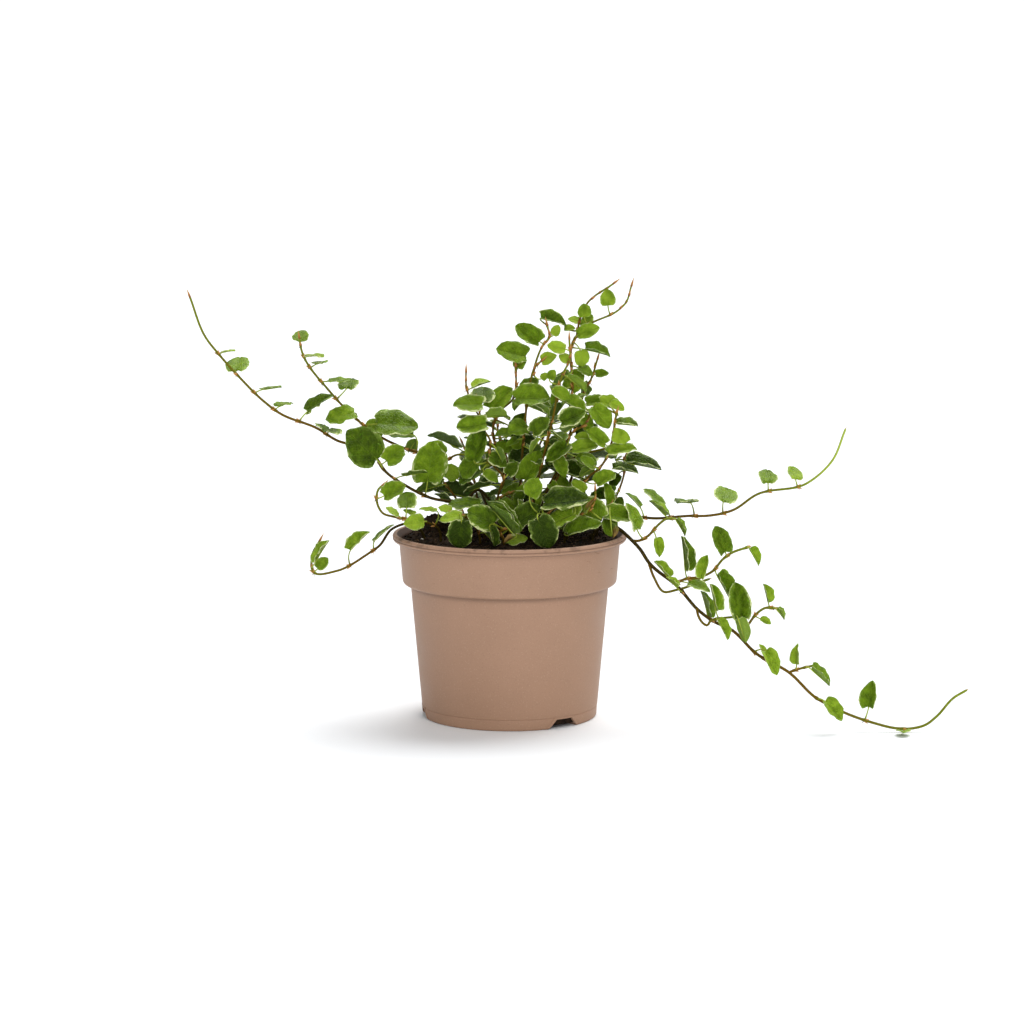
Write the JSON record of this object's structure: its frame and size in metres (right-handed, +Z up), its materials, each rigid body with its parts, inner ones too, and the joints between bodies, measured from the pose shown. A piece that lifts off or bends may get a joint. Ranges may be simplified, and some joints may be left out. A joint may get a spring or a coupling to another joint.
{
  "type": "potted creeping fig",
  "caption": "Creeping fig with small cream-edged leaves in a round plastic nursery pot: an upright bush with long thin runners that hang out over the rim.",
  "frame": {"origin": "on the pot's axis, in the plane that the pot stands on", "axes": "+Z up along the pot's axis, +X along the width over the runners, towards the right as pictured, +Y away from the viewer"},
  "size_m": [0.3955, 0.12, 0.2234],
  "materials": {
    "pot": "satin, moulded taupe plastic with fine specks",
    "soil": "rough, dark damp peat with fibres",
    "foliage": "satin green leaves with cream edges on brown stems"
  },
  "bodies": {
    "root": {"pot": "pot", "soil": "soil", "runner_left_high": "foliage", "runner_left_mid": "foliage", "runner_left_curled": "foliage", "runner_left_low": "foliage", "runner_right_high": "foliage", "runner_right_low": "foliage", "stem_front_left": "foliage", "stem_front_middle": "foliage", "stem_front_right": "foliage", "stem_front_bud": "foliage", "stem_right_low": "foliage", "stem_right_upright": "foliage", "stem_right_outer": "foliage", "stem_right_inner": "foliage", "stem_right_slanting": "foliage", "stem_top_right": "foliage", "stem_top_middle": "foliage", "stem_right_rising": "foliage", "stem_top_left": "foliage", "stem_left_tall": "foliage", "stem_left_forked": "foliage", "stem_left_short": "foliage", "stem_back_1": "foliage", "stem_back_2": "foliage", "stem_back_3": "foliage", "stem_back_4": "foliage", "stem_back_5": "foliage"}
  },
  "joints": []
}
